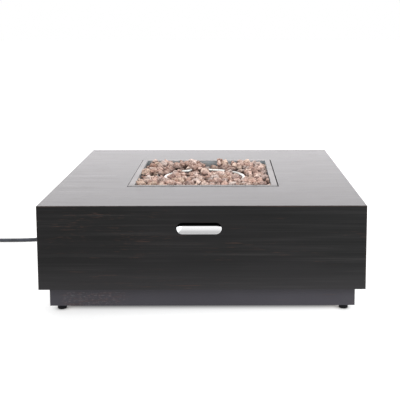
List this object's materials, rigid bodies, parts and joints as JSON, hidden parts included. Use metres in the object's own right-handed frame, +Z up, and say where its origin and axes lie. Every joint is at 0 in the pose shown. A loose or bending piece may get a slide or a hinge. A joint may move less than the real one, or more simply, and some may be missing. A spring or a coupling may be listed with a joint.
{
  "type": "gas fire table",
  "caption": "Low square gas fire table: cast shell on a recessed plinth and levelling feet, drop-in burner pan of lava rock, side controls, flush pulls, hose to a bottle regulator",
  "frame": {"origin": "on the floor, under the middle of the square table", "axes": "+Z up, -Y is the front wall with the visible pull, -X is the wall with the controls and the side the hose leaves to"},
  "size_m": [1.65, 1.267, 0.3602],
  "materials": {
    "painted_shell": "satin",
    "painted_plinth": "satin",
    "timber": "matte",
    "zinc_steel": "satin",
    "black_plastic": "matte",
    "pan_steel": "satin",
    "polished_steel": "polished",
    "pipe_steel": "satin",
    "yellow_brass": "satin",
    "ferrule_steel": "satin",
    "ceramic_white": "satin",
    "sensor_steel": "satin",
    "lead_copper": "satin",
    "lead_rubber": "matte",
    "lava": "matte",
    "hose_rubber": "satin",
    "knob_metal": "satin",
    "dial_metal": "satin",
    "igniter_plastic": "matte",
    "button_plastic": "gloss",
    "regulator_metal": "satin",
    "vent_plastic": "matte",
    "wheel_plastic": "matte"
  },
  "bodies": {
    "table": {"air_mixer": "pipe_steel", "bottle_nipple": "yellow_brass", "bracket_screws": "zinc_steel", "burner_flex_line": "pipe_steel", "burner_locknuts": "zinc_steel", "burner_nipple": "pipe_steel", "burner_pan": "pan_steel", "burner_ring": "polished_steel", "control_recess": "pan_steel", "corner_blocks": "timber", "dial_ring": "dial_metal", "electrode_bracket": "pan_steel", "electrode_tip": "pipe_steel", "foot_inserts": "zinc_steel", "front_pull": "polished_steel", "gas_hose": "hose_rubber", "hose_clip": "black_plastic", "hose_coil": "hose_rubber", "hose_ferrule_bottle": "ferrule_steel", "hose_ferrule_valve": "ferrule_steel", "hose_swivel_nut": "yellow_brass", "hose_tail": "hose_rubber", "igniter_body": "igniter_plastic", "igniter_lead": "lead_rubber", "igniter_nut": "zinc_steel", "igniter_spring": "pipe_steel", "lava_rocks": "lava", "lava_rocks_lower": "lava", "orifice_elbow": "yellow_brass", "plinth": "painted_plinth", "plinth_screws": "zinc_steel", "pocket_screws": "zinc_steel", "pull_pockets": "black_plastic", "rear_pull": "polished_steel", "recess_screws": "pan_steel", "regulator_body": "regulator_metal", "regulator_bonnet": "regulator_metal", "regulator_outlet_nut": "yellow_brass", "regulator_screws": "zinc_steel", "regulator_vent": "vent_plastic", "spacer_rails": "timber", "spark_electrode": "ceramic_white", "surround_shell": "painted_shell", "thermocouple": "sensor_steel", "thermocouple_lead": "lead_copper", "valve_body": "yellow_brass", "valve_inlet_fitting": "yellow_brass", "valve_nut": "zinc_steel", "valve_rear_plug": "yellow_brass", "valve_spring": "pipe_steel"},
    "valve_plunger": {"valve_collar": "yellow_brass"},
    "knob": {"valve_stem": "pipe_steel", "control_knob": "knob_metal"},
    "button": {"igniter_button": "button_plastic"},
    "foot_fl": {"foot_front_left": "black_plastic"},
    "foot_fr": {"foot_front_right": "black_plastic"},
    "foot_rl": {"foot_rear_left": "black_plastic"},
    "foot_rr": {"foot_rear_right": "black_plastic"},
    "handwheel": {"bottle_handwheel": "wheel_plastic"}
  },
  "joints": [
    {"name": "knob_push", "type": "slide", "parent": "table", "child": "valve_plunger", "axis": [1, 0, 0], "range_m": [0, 0.005], "stiffness_N_per_m": 2000, "springref_m": -0.002, "deforming": ["valve_spring"]},
    {"name": "knob_turn", "type": "hinge", "parent": "valve_plunger", "child": "knob", "pos_m": [-0.48, 0.214, 0.216], "axis": [1, 0, 0], "range_deg": [0, 180]},
    {"name": "igniter_push", "type": "slide", "parent": "table", "child": "button", "axis": [1, 0, 0], "range_m": [0, 0.004], "stiffness_N_per_m": 1500, "springref_m": -0.002, "deforming": ["igniter_spring"]},
    {"name": "foot_front_left_screw", "type": "slide", "parent": "table", "child": "foot_fl", "axis": [0, 0, -1], "range_m": [0, 0.012]},
    {"name": "foot_front_right_screw", "type": "slide", "parent": "table", "child": "foot_fr", "axis": [0, 0, -1], "range_m": [0, 0.012]},
    {"name": "foot_rear_left_screw", "type": "slide", "parent": "table", "child": "foot_rl", "axis": [0, 0, -1], "range_m": [0, 0.012]},
    {"name": "foot_rear_right_screw", "type": "slide", "parent": "table", "child": "foot_rr", "axis": [0, 0, -1], "range_m": [0, 0.012]},
    {"name": "handwheel_turn", "type": "hinge", "parent": "table", "child": "handwheel", "pos_m": [-1.11, 0.73, 0.027], "axis": [0, 1, 0], "continuous": true}
  ]
}
